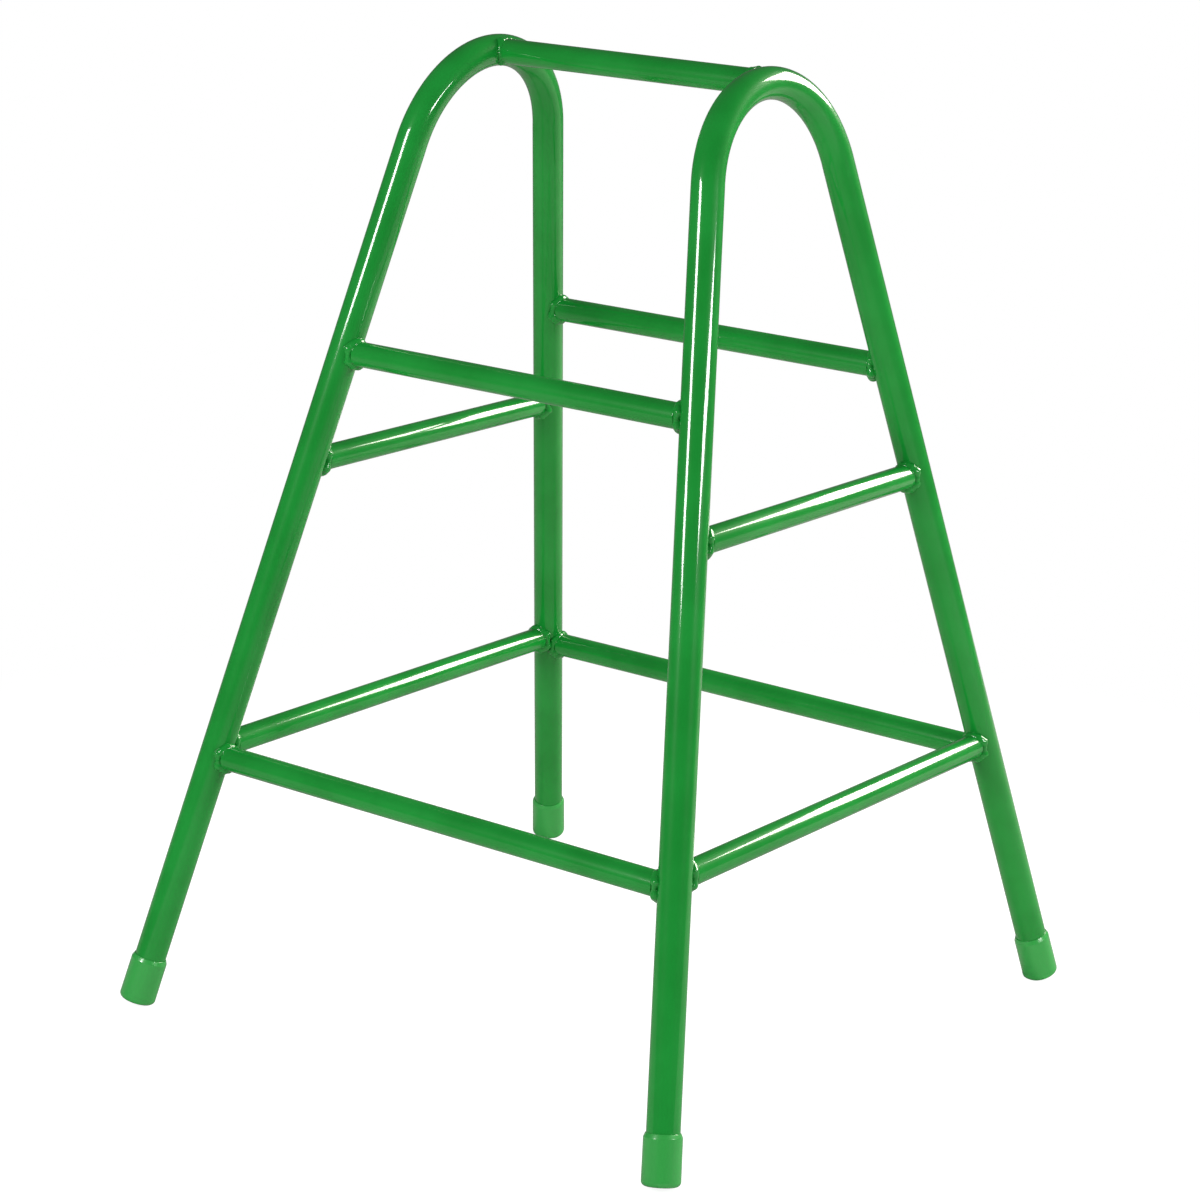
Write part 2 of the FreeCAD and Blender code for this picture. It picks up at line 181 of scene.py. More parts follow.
def new_material(name):
    """An empty node material with its tree."""
    material = bpy.data.materials.new(name)
    material.use_nodes = True
    material.node_tree.nodes.clear()
    return material, material.node_tree


# %% [markdown]
# ## The enamel
# The steel is dipped or sprayed with green stoving enamel and baked. It dries to a hard high gloss, so
# lamps show in it as crisp white streaks, but the film isn't perfectly flat: it has a faint orange peel,
# a slower waviness where it flowed, and here and there a speck of dust baked in. Its green shifts a little
# with the film's thickness. Each of those is one procedural pattern with a size in millimetres, and the
# gloss comes from a clear coat on the shader. The colour under the coat reflects little by itself, which
# keeps the green deep between the streaks.

# %% Gloss green stoved enamel
ENAMEL_GREEN = "#0d862b"
ENAMEL_GREEN_THIN = "#159133"
FILM_SIZE = 70 * MM
FILM_RANGE = (0.35, 0.65)  # most of a noise texture's values lie in here
FLOW_SIZE = 28 * MM
FLOW_HEIGHT = 0.06 * MM
PEEL_SIZE = 8 * MM  # real peel is 2 to 4 mm across, too fine to show from here, so it is drawn coarser
PEEL_HEIGHT = 0.010 * MM
NIB_SPACING = 20 * MM
NIB_SHARE = 0.05  # a nib's radius as a share of the spacing
NIB_HEIGHT = 0.08 * MM


def make_enamel():
    """Gloss stoving enamel: coat gloss, orange peel, flow waves, dust nibs and a slight drift of colour."""
    material, tree = new_material("gloss_green_stoved_enamel")
    place = add(tree, "ShaderNodeTexCoord")
    at = (place, "Object")

    film = add(tree, "ShaderNodeTexNoise", {"Vector": at, "Scale": 1 / FILM_SIZE, "Detail": 3.0})
    thickness = add(tree, "ShaderNodeMapRange", {
        "Value": (film, "Fac"), "From Min": FILM_RANGE[0], "From Max": FILM_RANGE[1]})
    green = add(tree, "ShaderNodeMix", {
        "Factor_Float": (thickness, "Result"), "A_Color": colour(ENAMEL_GREEN),
        "B_Color": colour(ENAMEL_GREEN_THIN)}, data_type="RGBA")

    flow = add(tree, "ShaderNodeTexNoise", {"Vector": at, "Scale": 1 / FLOW_SIZE, "Detail": 1.0})
    peel = add(tree, "ShaderNodeTexNoise", {"Vector": at, "Scale": 1 / PEEL_SIZE, "Detail": 0.0})
    nibs = add(tree, "ShaderNodeTexVoronoi", {"Vector": at, "Scale": 1 / NIB_SPACING})
    nib = add(tree, "ShaderNodeMapRange", {
        "Value": (nibs, "Distance"), "From Min": 0.0, "From Max": NIB_SHARE, "To Min": 1.0, "To Max": 0.0},
        interpolation_type="SMOOTHSTEP")
    waves = add(tree, "ShaderNodeBump", {"Height": (flow, "Fac"), "Strength": 1.0, "Distance": FLOW_HEIGHT})
    skin = add(tree, "ShaderNodeBump", {
        "Height": (peel, "Fac"), "Strength": 1.0, "Distance": PEEL_HEIGHT, "Normal": (waves, "Normal")})
    specks = add(tree, "ShaderNodeBump", {
        "Height": (nib, "Result"), "Strength": 0.5, "Distance": NIB_HEIGHT, "Normal": (skin, "Normal")})

    shader = add(tree, "ShaderNodeBsdfPrincipled", {
        "Base Color": (green, "Result_Color"), "Roughness": 0.35, "IOR": 1.5,
        "Specular IOR Level": 0.1, "Normal": (specks, "Normal"),
        "Coat Weight": 1.0, "Coat Roughness": 0.07, "Coat IOR": 1.6,
        "Coat Normal": (specks, "Normal")})
    add(tree, "ShaderNodeOutputMaterial", {"Surface": (shader, "BSDF")})
    return material


enamel = make_enamel()
print("made", enamel.name)

# %% [markdown]
# ## The ferrule's plastic
# The ferrules are injection moulded in a soft vinyl or polythene, coloured through. The tool is
# spark-eroded, so the skin is satin: highlights spread wide and soft, and the green looks lighter than
# the enamel. Scuffs from the floor dull the lowest few millimetres.

# %% Satin moulded polythene
POLYTHENE_GREEN = "#2aa241"
POLYTHENE_SCUFFED = "#43a552"
SPARK_GRAIN = 0.9 * MM  # a real tool's grain is about 0.1 mm, too fine to show, so it is drawn coarser
GRAIN_HEIGHT = 0.02 * MM
SCUFF_SIZE = 5 * MM
SCUFF_HEIGHT = 9 * MM
SCUFF_COVER = (0.62, 0.25)  # noise below this is scuffed: at the floor, and from the scuff height up
SCUFF_EDGE = 0.2  # how softly a scuff fades out
SATIN_ROUGHNESS = (0.36, 0.55)  # clean, and scuffed


def make_polythene():
    """Satin moulded plastic with a fine tool grain, and scuffs close to the floor."""
    material, tree = new_material("satin_moulded_polythene")
    place = add(tree, "ShaderNodeTexCoord")
    at = (place, "Object")
    split = add(tree, "ShaderNodeSeparateXYZ", {"Vector": at})
    scuffs = add(tree, "ShaderNodeTexNoise", {
        "Vector": at, "Scale": 1 / SCUFF_SIZE, "Detail": 5.0, "Roughness": 0.7})
    low = add(tree, "ShaderNodeMapRange", {
        "Value": (split, "Z"), "From Min": 0.0, "From Max": SCUFF_HEIGHT, "To Min": SCUFF_COVER[0],
        "To Max": SCUFF_COVER[1]})
    worn = add(tree, "ShaderNodeMath", {
        "Value": (low, "Result"), "Value_001": (scuffs, "Fac")}, operation="SUBTRACT")
    amount = add(tree, "ShaderNodeMapRange", {
        "Value": (worn, "Value"), "From Min": 0.0, "From Max": SCUFF_EDGE})
    green = add(tree, "ShaderNodeMix", {
        "Factor_Float": (amount, "Result"), "A_Color": colour(POLYTHENE_GREEN),
        "B_Color": colour(POLYTHENE_SCUFFED)}, data_type="RGBA")
    dull = add(tree, "ShaderNodeMapRange", {
        "Value": (amount, "Result"), "To Min": SATIN_ROUGHNESS[0], "To Max": SATIN_ROUGHNESS[1]})
    grain = add(tree, "ShaderNodeTexNoise", {"Vector": at, "Scale": 1 / SPARK_GRAIN, "Detail": 2.0})
    bump = add(tree, "ShaderNodeBump", {"Height": (grain, "Fac"), "Strength": 1.0, "Distance": GRAIN_HEIGHT})
    shader = add(tree, "ShaderNodeBsdfPrincipled", {
        "Base Color": (green, "Result_Color"), "Roughness": (dull, "Result"), "IOR": 1.5,
        "Normal": (bump, "Normal"), "Coat Weight": 1.0, "Coat Roughness": 0.14, "Coat IOR": 1.5})
    add(tree, "ShaderNodeOutputMaterial", {"Surface": (shader, "BSDF")})
    return material


polythene = make_polythene()
print("made", polythene.name)

# %% [markdown]
# ## From a node tree to a plain mesh
# Geometry Nodes do their work on a host: a small mesh that only holds a path. The host's modifier gets
# its inputs, the result is copied out as a plain mesh, and the host is thrown away.

# %% Geometry Nodes helpers


def new_tree(name, inputs):
    """A geometry tree with named inputs, given as name: socket type. Returns it and its input node."""
    tree = bpy.data.node_groups.new(name, "GeometryNodeTree")
    tree.interface.new_socket("Geometry", in_out="INPUT", socket_type="NodeSocketGeometry")
    tree.interface.new_socket("Geometry", in_out="OUTPUT", socket_type="NodeSocketGeometry")
    for label, kind in inputs.items():
        tree.interface.new_socket(label, in_out="INPUT", socket_type=kind)
    return tree, tree.nodes.new("NodeGroupInput")


def path_host(name, points, closed=False):
    """A mesh of bare edges that follows the points."""
    mesh = bpy.data.meshes.new(name)
    edges = [(i, i + 1) for i in range(len(points) - 1)]
    if closed:
        edges.append((len(points) - 1, 0))
    mesh.from_pydata([tuple(p) for p in points], edges, [])
    host = bpy.data.objects.new(name, mesh)
    bpy.context.scene.collection.objects.link(host)
    return host


def grow(host, tree, values):
    """Run a tree on a host with those input values, and return the result as a plain mesh."""
    modifier = host.modifiers.new("grow", "NODES")
    modifier.node_group = tree
    for item in tree.interface.items_tree:
        if item.item_type == "SOCKET" and item.name in values:
            modifier[item.identifier] = values[item.name]
    evaluated = host.evaluated_get(bpy.context.evaluated_depsgraph_get())
    mesh = bpy.data.meshes.new_from_object(evaluated)
    bpy.data.objects.remove(host)
    return mesh


def finished_piece(name, mesh, nodes, material):
    """Put a plain mesh in the scene as a piece that stands for CAD nodes."""
    piece = bpy.data.objects.new(name, mesh)
    bpy.context.scene.collection.objects.link(piece)
    mesh.materials.clear()
    mesh.materials.append(material)
    for polygon in mesh.polygons:
        polygon.use_smooth = True
    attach(piece, "root")
    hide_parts(*nodes)
    return piece


# %% [markdown]
# ## The hoops
# Each hoop is one length of 32 mm tube, pulled round a former. Its shape is a rule: two straight legs
# that would meet at a sharp corner, with that corner rounded to the former's radius. So a three-point
# path goes in, Fillet Curve rounds the corner, and Curve to Mesh draws the tube along it. The fillet
# keeps the legs tangent to the bend whatever the sizes are, which a hand-placed arc wouldn't.

# %% Bent tube tree
TUBE_SIDES = 96
RING_SPACING = 5 * MM
BEND_STEPS = 80


def make_bent_tube_tree():
    """Round a path's corners, then draw a capped tube along it."""
    tree, given = new_tree("bent_tube", {
        "Bend radius": "NodeSocketFloat", "Tube radius": "NodeSocketFloat", "Sides": "NodeSocketInt",
        "Bend steps": "NodeSocketInt", "Ring spacing": "NodeSocketFloat", "Material": "NodeSocketMaterial"})
    path = add(tree, "GeometryNodeMeshToCurve", {"Mesh": (given, "Geometry")})
    bent = add(tree, "GeometryNodeFilletCurve", {
        "Curve": (path, "Curve"), "Count": (given, "Bend steps"), "Radius": (given, "Bend radius")},
        mode="POLY")
    rings = add(tree, "GeometryNodeResampleCurve", {
        "Curve": (bent, "Curve"), "Length": (given, "Ring spacing")}, mode="LENGTH")
    section = add(tree, "GeometryNodeCurvePrimitiveCircle", {
        "Resolution": (given, "Sides"), "Radius": (given, "Tube radius")})
    tube = add(tree, "GeometryNodeCurveToMesh", {
        "Curve": (rings, "Curve"), "Profile Curve": (section, "Curve"), "Fill Caps": True})
    real = add(tree, "GeometryNodeRealizeInstances", {"Geometry": (tube, "Mesh")})
    painted = add(tree, "GeometryNodeSetMaterial", {
        "Geometry": (real, "Geometry"), "Material": (given, "Material")})
    add(tree, "NodeGroupOutput", {"Geometry": (painted, "Geometry")})
    return tree


bent_tube_tree = make_bent_tube_tree()
print(bent_tube_tree.name, "has", len(bent_tube_tree.nodes), "nodes")

# %% [markdown]
# Pulling a tube round a former flattens its outer wall a little, and the clamp leaves a faint dent where
# the bend begins. Both are fractions of a millimetre, but gloss paint shows them: the streaks of light
# bend and break there. They are pressed into the finished mesh.

# %% Make the hoops
BEND_FLATTENING = 0.03
CLAMP_DENT = 0.22 * MM
CLAMP_WIDTH = 3.5 * MM
CLAMP_REACH = 4 * CLAMP_WIDTH


def press_bend(mesh, side):
    """Flatten the bend's outer wall, and dent the inner wall where the bend begins."""
    run_in = 2 * leg_radius
    for vertex in mesh.vertices:
        across, up, out = to_plane(side, vertex.co)
        from_centre = Vector((abs(across), up - bend_slant))
        angle = math.atan2(from_centre.y, from_centre.x)
        distance_in = (angle - splay) * bend_radius
        reach = from_centre.length - bend_radius
        change = 0.0
        if distance_in > 0 and reach > 0:
            ramp = min(1.0, distance_in / run_in)
            change = -reach * BEND_FLATTENING * ramp
        if reach < 0 and abs(distance_in) < CLAMP_REACH:
            facing = min(1.0, -reach / leg_radius)
            change = CLAMP_DENT * facing * math.exp(-(distance_in / CLAMP_WIDTH) ** 2)
        if change:
            moved = from_centre.normalized() * (from_centre.length + change)
            vertex.co = from_plane(side, math.copysign(moved.x, across), bend_slant + moved.y, out)


def make_hoop(side_name):
    """One bent tube, with its ends inside the ferrules."""
    side = SIDES[side_name]
    tube_end = (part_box(f"{side_name}_hoop")[0].z + leg_radius * math.sin(splay)) / math.cos(splay)
    corner = foot_y / math.tan(splay)
    front, back = [from_plane(side, face * foot_y, 0) + leg_direction(side, face) * tube_end
                   for face in FACES.values()]
    host = path_host(f"{side_name}_hoop_path", [front, from_plane(side, 0, corner), back])
    mesh = grow(host, bent_tube_tree, {
        "Bend radius": bend_radius, "Tube radius": leg_radius, "Sides": TUBE_SIDES,
        "Bend steps": BEND_STEPS, "Ring spacing": RING_SPACING, "Material": enamel})
    press_bend(mesh, side)
    return finished_piece(f"{side_name}_hoop_enamelled", mesh, [f"{side_name}_hoop"], enamel)


hoops = [make_hoop(side_name) for side_name in SIDES]
print(len(hoops), "hoops,", sum(len(hoop.data.polygons) for hoop in hoops), "faces")

# %% [markdown]
# ## Turned shapes
# Rails, rungs and ferrules are round about a straight axis, so each is an outline turned about a line,
# like work on a lathe. The outline lists distance along the axis and radius, and `rounded` gives its
# corners a real edge: sawn tube has a burr-free rim of about a millimetre once it's painted.

# %% Lathe helpers
TURNED_SIDES = 96
LONGEST_SETBACK = 0.49  # an edge's arc takes a little under half of the run on each side of it
ON_AXIS = 1e-7


def rounded(outline, radii, steps=6):
    """Replace each corner between an outline's two ends by an arc of its own radius."""
    result = [Vector(outline[0])]
    for before, corner, after, size in zip(outline, outline[1:], outline[2:], radii):
        corner = Vector(corner)
        back, on = (Vector(before) - corner), (Vector(after) - corner)
        half = back.angle(on) / 2
        setback = min(size / math.tan(half), LONGEST_SETBACK * min(back.length, on.length))
        centre = corner + (back.normalized() + on.normalized()).normalized() * (setback / math.cos(half))
        first = (corner + back.normalized() * setback - centre).normalized()
        last = (corner + on.normalized() * setback - centre).normalized()
        for step in range(steps + 1):
            result.append(centre + first.slerp(last, step / steps) * (setback * math.tan(half)))
    result.append(Vector(outline[-1]))
    return result


def turned_mesh(name, outline, base, axis):
    """Turn an outline of (along, radius) points about an axis. Points at radius 0 close the ends."""
    axis = Vector(axis).normalized()
    sideways = axis.orthogonal().normalized()
    across = axis.cross(sideways)
    vertices, faces, rings = [], [], []
    for along, radius in outline:
        start = len(vertices)
        count = 1 if radius < ON_AXIS else TURNED_SIDES
        for step in range(count):
            turn = 2 * math.pi * step / TURNED_SIDES
            spoke = sideways * math.cos(turn) + across * math.sin(turn)
            vertices.append(base + axis * along + spoke * radius)
        rings.append((start, count))
    for (start, count), (following, following_count) in zip(rings, rings[1:]):
        for step in range(TURNED_SIDES):
            ahead = (step + 1) % TURNED_SIDES
            corners = [start + step % count, following + step % following_count,
                       following + ahead % following_count, start + ahead % count]
            faces.append(tuple(dict.fromkeys(reversed(corners))))
    mesh = bpy.data.meshes.new(name)
    mesh.from_pydata([tuple(v) for v in vertices], [], faces)
    mesh.validate()
    return mesh


# %% [markdown]
# ## The rails and rungs
# Nine lengths of 25 mm tube, sawn square. Square ends are quick to cut, but they touch the round leg only
# along its middle, so at the two sides a sliver of the sawn end stays visible beside the weld.

# %% Make the bars
SAWN_RIM = 0.9 * MM
BARS = ["top_rail"]
BARS += [f"{face}_{level}_rail" for level in ("upper", "lower") for face in FACES]
BARS += [f"{side}_{level}_rung" for level in ("middle", "lower") for side in SIDES]


def bar_axis(node):
    """Unit vector along a bar, towards +X or +Y."""
    return Vector((1, 0, 0)) if node.endswith("rail") else Vector((0, 1, 0))


def make_bar(node):
    """A square-cut tube between its two welds."""
    axis = bar_axis(node)
    length = extent(node).dot(axis)
    outline = rounded([(0, 0), (0, bar_radius), (length, bar_radius), (length, 0)], [SAWN_RIM, SAWN_RIM])
    mesh = turned_mesh(f"{node}_turned", outline, middle(node) - axis * length / 2, axis)
    return finished_piece(f"{node}_enamelled", mesh, [node], enamel)


bars = [make_bar(node) for node in BARS]
print(len(bars), "bars")

# %% [markdown]
# ## The welds
# A welder runs a bead round each joint, a blob at a time, so it is a row of small overlapping pools. Where
# the bar's end stands off the leg the bead is fatter, because it bridges a wider gap. At the sides, where
# the leg curves away, it sinks in under the bar's rim. The path and the bead's radius along it are
# worked out here; a node tree then sets a pool every two millimetres, melts them into one skin and rounds
# that skin off, as a thick coat of enamel does. Spheres joined by hand would show creases between the
# pools. A few grains of spatter that the paint went over lie beside each joint.

# %% Weld bead tree
POOL_SPACING = 2.1 * MM
POOL_LENGTH = 0.62  # along the bead, as a share of its radius
UNEVEN = (0.90, 1.06)  # smallest and largest pool, as shares of the bead's radius
VOXEL = 0.5 * MM
MELT_BAND = 2.0  # voxels over which the melted volume thins out towards its skin
MELT_LEVEL = 0.1  # the skin lies where the volume has thinned to this density
SMOOTHING = 9


def add_pools(tree, given):
    """Flattened pools in a row along the path, each a little different."""
    path = add(tree, "GeometryNodeMeshToCurve", {"Mesh": (given, "Geometry")})
    pools = add(tree, "GeometryNodeResampleCurve", {
        "Curve": (path, "Curve"), "Length": (given, "Pool spacing")}, mode="LENGTH")
    radius = add(tree, "GeometryNodeInputNamedAttribute", {"Name": "bead_radius"}, data_type="FLOAT")
    uneven = add(tree, "FunctionNodeRandomValue", {
        "Min_001": UNEVEN[0], "Max_001": UNEVEN[1], "Seed": (given, "Seed")}, data_type="FLOAT")
    width = add(tree, "ShaderNodeMath", {
        "Value": (radius, "Attribute"), "Value_001": (uneven, "Value_001")}, operation="MULTIPLY")
    length = add(tree, "ShaderNodeMath", {
        "Value": (width, "Value"), "Value_001": (given, "Pool length")}, operation="MULTIPLY")
    shape = add(tree, "ShaderNodeCombineXYZ", {
        "X": (width, "Value"), "Y": (width, "Value"), "Z": (length, "Value")})
    heading = add(tree, "GeometryNodeInputTangent")
    turn = add(tree, "FunctionNodeAlignRotationToVector", {"Vector": (heading, "Tangent")}, axis="Z")
    pool = add(tree, "GeometryNodeMeshIcoSphere", {"Radius": 1.0, "Subdivisions": 4})
    row = add(tree, "GeometryNodeInstanceOnPoints", {
        "Points": (pools, "Curve"), "Instance": (pool, "Mesh"), "Rotation": (turn, "Rotation"),
        "Scale": (shape, "Vector")})
    return add(tree, "GeometryNodeRealizeInstances", {"Geometry": (row, "Instances")})


def add_melt(tree, given, solid):
    """One smooth skin round all the pools."""
    band = add(tree, "ShaderNodeMath", {
        "Value": (given, "Voxel"), "Value_001": MELT_BAND}, operation="MULTIPLY")
    melt = add(tree, "GeometryNodeMeshToVolume", {
        "Mesh": (solid, "Geometry"), "Density": 1.0, "Voxel Size": (given, "Voxel"),
        "Interior Band Width": (band, "Value")}, resolution_mode="VOXEL_SIZE")
    skin = add(tree, "GeometryNodeVolumeToMesh", {
        "Volume": (melt, "Volume"), "Voxel Size": (given, "Voxel"), "Threshold": MELT_LEVEL},
        resolution_mode="VOXEL_SIZE")
    place = add(tree, "GeometryNodeInputPosition")
    calm = add(tree, "GeometryNodeBlurAttribute", {
        "Value": (place, "Position"), "Iterations": (given, "Smoothing")}, data_type="FLOAT_VECTOR")
    return add(tree, "GeometryNodeSetPosition", {
        "Geometry": (skin, "Mesh"), "Position": (calm, "Value")})


def add_spatter(tree, given):
    """A round grain on each point that has a grain radius."""
    grain_radius = add(tree, "GeometryNodeInputNamedAttribute", {"Name": "grain_radius"}, data_type="FLOAT")
    is_grain = add(tree, "ShaderNodeMath", {"Value": (grain_radius, "Attribute"), "Value_001": 0.0},
                   operation="GREATER_THAN")
    grain = add(tree, "GeometryNodeMeshIcoSphere", {"Radius": 1.0, "Subdivisions": 2})
    return add(tree, "GeometryNodeInstanceOnPoints", {
        "Points": (given, "Geometry"), "Selection": (is_grain, "Value"), "Instance": (grain, "Mesh"),
        "Scale": (grain_radius, "Attribute")})


def make_weld_tree():
    """A bead of pools melted together along the path, and grains of spatter on the loose points."""
    tree, given = new_tree("weld_bead", {
        "Pool spacing": "NodeSocketFloat", "Pool length": "NodeSocketFloat", "Voxel": "NodeSocketFloat",
        "Smoothing": "NodeSocketInt", "Seed": "NodeSocketInt", "Material": "NodeSocketMaterial"})
    bead = add_melt(tree, given, add_pools(tree, given))
    spatter = add_spatter(tree, given)
    both = add(tree, "GeometryNodeJoinGeometry")
    for source, name in ((bead, "Geometry"), (spatter, "Instances")):
        tree.links.new(socket(source.outputs, name), both.inputs["Geometry"])
    real = add(tree, "GeometryNodeRealizeInstances", {"Geometry": (both, "Geometry")})
    painted = add(tree, "GeometryNodeSetMaterial", {
        "Geometry": (real, "Geometry"), "Material": (given, "Material")})
    add(tree, "NodeGroupOutput", {"Geometry": (painted, "Geometry")})
    return tree


weld_tree = make_weld_tree()
print(weld_tree.name, "has", len(weld_tree.nodes), "nodes")

# %% Weld paths
PATH_STEPS = 64
HALVINGS = 24
FLANK_BEAD = 3.3 * MM  # bead radius at the bar's two sides, where the leg curves away
FILLET_BEAD = 4.9 * MM  # bead radius in the corners up and down the leg
CROWN_BEAD = 3.4 * MM  # the same on top of a hoop
FLANK_DEPTH = 1.3 * MM  # how far the bead's centre lies inside the bar's skin
FILLET_DEPTH = 1.7 * MM
GAP_FILL = 0.33  # how much of a gap is added to the bead that bridges it
STOP_LUMP = 1.7 * MM  # extra metal where the welder stopped and started again
STOP_PLACE = 0.5  # the stops lie 60 degrees round from the corners, where the cosine is a half
STOP_SPREAD = 0.14


def joint_place(node, outward):
    """Middle of a bar's end face, the direction out of it, and the two directions across it: up and level."""
    axis = bar_axis(node)
    direction = axis * outward
    end = middle(node) + direction * extent(node).dot(axis) / 2
    return end, direction, UP, axis.cross(UP)


def reach_to_tube(side, start, direction):
    """Distance from a point along a direction to a hoop's surface, by halving."""
    near, far = -leg_radius, leg_radius
    for _ in range(HALVINGS):
        half = (near + far) / 2
        if tube_clearance(side, start + direction * half) > 0:
            near = half
        else:
            far = half
    return near


def weld_path(node, outward, side, on_crown):
    """Points round a bar's end with the bead's radius at each. The bead sinks in at the bar's two sides."""
    end, direction, up, sideways = joint_place(node, outward)
    points, radii = [], []
    fillet = CROWN_BEAD if on_crown else FILLET_BEAD
    for step in range(PATH_STEPS):
        turn = 2 * math.pi * step / PATH_STEPS
        spoke = up * math.cos(turn) + sideways * math.sin(turn)
        along_leg = abs(spoke.dot(sideways if on_crown else up))
        share = along_leg ** 2
        rim = bar_radius - FLANK_DEPTH - (FILLET_DEPTH - FLANK_DEPTH) * share
        gap = reach_to_tube(side, end + spoke * rim, direction)
        lump = STOP_LUMP * math.exp(-((along_leg - STOP_PLACE) / STOP_SPREAD) ** 2)
        points.append(end + spoke * rim + direction * (gap / 2 + lump))
        radii.append(FLANK_BEAD + (fillet - FLANK_BEAD) * share + max(gap, 0) * GAP_FILL * share + lump)
    return points, radii


# %% Spatter
GRAINS = 5
GRAIN_SIZES = (0.25 * MM, 0.5 * MM)
GRAIN_REACH = 16 * MM
NEAREST_ON_BAR = 0.3  # the nearest grains, as shares of the reach
NEAREST_ON_LEG = 0.35


def spatter_points(node, outward, side, on_crown, rng):
    """Grains on the leg and on the bar beside a joint, sunk in by half."""
    end, direction, along_leg, across_leg = joint_place(node, outward)
    if on_crown:
        along_leg, across_leg = across_leg, along_leg
    found = []
    for count in range(GRAINS):
        turn = rng.uniform(0, 2 * math.pi)
        spoke = along_leg * math.cos(turn) + across_leg * math.sin(turn)
        size = rng.uniform(*GRAIN_SIZES)
        if count % 2:
            back = rng.uniform(NEAREST_ON_BAR, 1) * GRAIN_REACH
            found.append((end - direction * back + spoke * bar_radius, size))
        else:
            reach = bar_radius + rng.uniform(NEAREST_ON_LEG, 1) * GRAIN_REACH
            aside = across_leg * spoke.dot(across_leg) * bar_radius / 2
            start = end + along_leg * math.copysign(reach, spoke.dot(along_leg)) + aside
            found.append((start + direction * reach_to_tube(side, start, direction), size))
    return found


print(GRAINS, "grains beside each weld")

# %% Make the welds


def bar_ends(node):
    """Each end of a bar: the name of its weld, which way it points, and the side of the hoop it meets."""
    if node.endswith("rail"):
        return [(f"{node}_weld_{name}", sign, sign) for name, sign in SIDES.items()]
    side = SIDES[node.split("_")[0]]
    return [(f"{node}_weld_{name}", sign, side) for name, sign in FACES.items()]


def make_weld(node, weld, outward, side, seed):
    """The bead at one end of a bar, with its spatter."""
    on_crown = node == "top_rail"
    points, radii = weld_path(node, outward, side, on_crown)
    grains = spatter_points(node, outward, side, on_crown, random.Random(seed))
    host = path_host(f"{weld}_path", points, closed=True)
    host.data.vertices.add(len(grains))
    for index, (place, _size) in enumerate(grains, start=len(points)):
        host.data.vertices[index].co = place
    bead = host.data.attributes.new("bead_radius", "FLOAT", "POINT")
    bead.data.foreach_set("value", radii + [0.0] * len(grains))
    grain = host.data.attributes.new("grain_radius", "FLOAT", "POINT")
    grain.data.foreach_set("value", [0.0] * len(points) + [size for _place, size in grains])
    mesh = grow(host, weld_tree, {
        "Pool spacing": POOL_SPACING, "Pool length": POOL_LENGTH, "Voxel": VOXEL,
        "Smoothing": SMOOTHING, "Seed": seed, "Material": enamel})
    return finished_piece(f"{weld}_enamelled", mesh, [weld], enamel)


welds = []
for node in BARS:
    for weld, outward, side in bar_ends(node):
        welds.append(make_weld(node, weld, outward, side, seed=len(welds) + 1))
print(len(welds), "welds,", sum(len(weld.data.polygons) for weld in welds), "faces")

# %% [markdown]
# ## The ferrules
# A ferrule is a moulded cup that the tube is pushed into. Outside it has a thick sole with a generous
# round edge, a wall with a hair of draft so that it leaves the tool, and a bevel at the top. It sits
# square on a leg that isn't upright, so the floor has worn its lowest edge flat.

# %% Make the ferrules
FERRULE_WALL = 2.6 * MM  # a little less than the CAD model's, so that it stays inside that model's box
FERRULE_FLOOR = 6 * MM
FERRULE_LENGTH = 48.5 * MM
FERRULE_SHOULDER = 4 * MM
FERRULE_LIP = 0.7 * MM
FERRULE_DRAFT = 0.15 * MM
SOLE_RIM = 9 * MM  # radius of the dish in the sole
SOLE_DISH = 0.8 * MM  # its depth
SOLE_EDGE = 6 * MM
SHOULDER_EDGE = 1.4 * MM
RIM_EDGE = 0.5 * MM
WEAR_STEP = 1.5 * MM  # points lie this close along the outline, so that the worn flat has a clean edge


def ferrule_outline():
    """Dished sole, round edge, drafted wall, bevel, lip, and the socket down to the tube's end."""
    outer = leg_radius + FERRULE_WALL
    bevel = FERRULE_LENGTH - FERRULE_SHOULDER
    corners = [
        (SOLE_DISH, 0), (SOLE_DISH, SOLE_RIM - SOLE_DISH), (0, SOLE_RIM), (0, outer),
        (bevel, outer - FERRULE_DRAFT), (FERRULE_LENGTH, leg_radius + FERRULE_LIP),
        (FERRULE_LENGTH, leg_radius), (FERRULE_FLOOR, leg_radius), (FERRULE_FLOOR, 0)]
    edges = [RIM_EDGE, RIM_EDGE, SOLE_EDGE, SHOULDER_EDGE, RIM_EDGE, RIM_EDGE / 2, RIM_EDGE]
    return rounded(corners, edges, steps=8)


def stretch_outline(outline, step):
    """Add points along an outline's long runs."""
    result = [outline[0]]
    for before, after in zip(outline, outline[1:]):
        pieces = max(1, math.ceil((after - before).length / step))
        result += [before.lerp(after, piece / pieces) for piece in range(1, pieces + 1)]
    return result


def make_ferrule(node):
    """A turned cup on a leg's end, worn flat where it meets the floor."""
    face_name, side_name, _ = node.split("_")
    side, face = SIDES[side_name], FACES[face_name]
    axis = leg_direction(side, face)
    tilt = axis.angle(UP)
    rim_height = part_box(node)[1].z - (leg_radius + FERRULE_LIP) * math.sin(tilt)
    base = from_plane(side, face * foot_y, 0) + axis * (rim_height / math.cos(tilt) - FERRULE_LENGTH)
    mesh = turned_mesh(f"{node}_turned", stretch_outline(ferrule_outline(), WEAR_STEP), base, axis)
    for vertex in mesh.vertices:
        vertex.co.z = max(vertex.co.z, 0.0)
    return finished_piece(f"{node}_moulded", mesh, [node], polythene)


